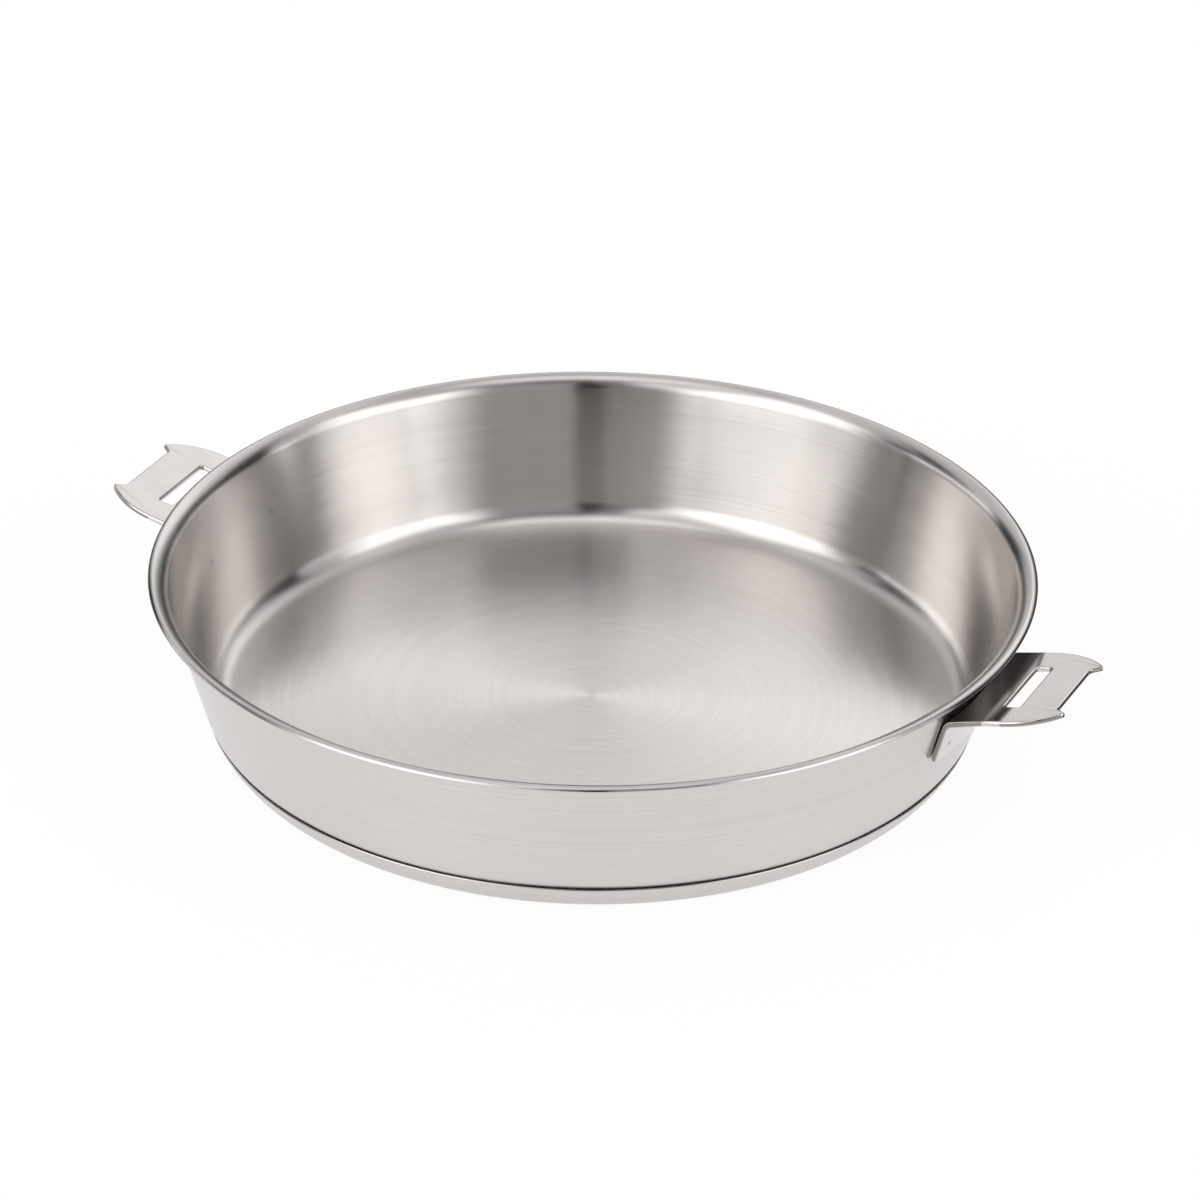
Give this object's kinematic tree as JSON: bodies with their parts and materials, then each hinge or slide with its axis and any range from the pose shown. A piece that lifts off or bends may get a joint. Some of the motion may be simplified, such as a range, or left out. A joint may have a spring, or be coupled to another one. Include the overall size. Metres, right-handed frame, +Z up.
{
  "type": "frying pan",
  "caption": "Shallow round stainless frying pan with a slanted wall, a rolled-out lip, an encapsulated heat-spreading base and slotted sheet brackets for clip-on handles on opposite sides",
  "frame": {"origin": "middle of the underside of the base, which is the resting plane", "axes": "+Z up out of the pan's mouth, +X out through the right bracket, -X out through the left bracket"},
  "size_m": [0.3552, 0.3, 0.058],
  "materials": {
    "satin_steel": "satin, brushed round the axis inside",
    "base_steel": "satin",
    "core_aluminium": "as rolled",
    "bracket_steel": "bright satin",
    "weld_steel": "dull weld metal"
  },
  "bodies": {
    "root": {"pan_shell": "satin_steel", "heat_spreader_disc": "core_aluminium", "base_capsule": "base_steel", "right_bracket": "bracket_steel", "left_bracket": "bracket_steel", "right_near_spot_weld": "weld_steel", "right_far_spot_weld": "weld_steel", "left_near_spot_weld": "weld_steel", "left_far_spot_weld": "weld_steel"}
  },
  "joints": []
}
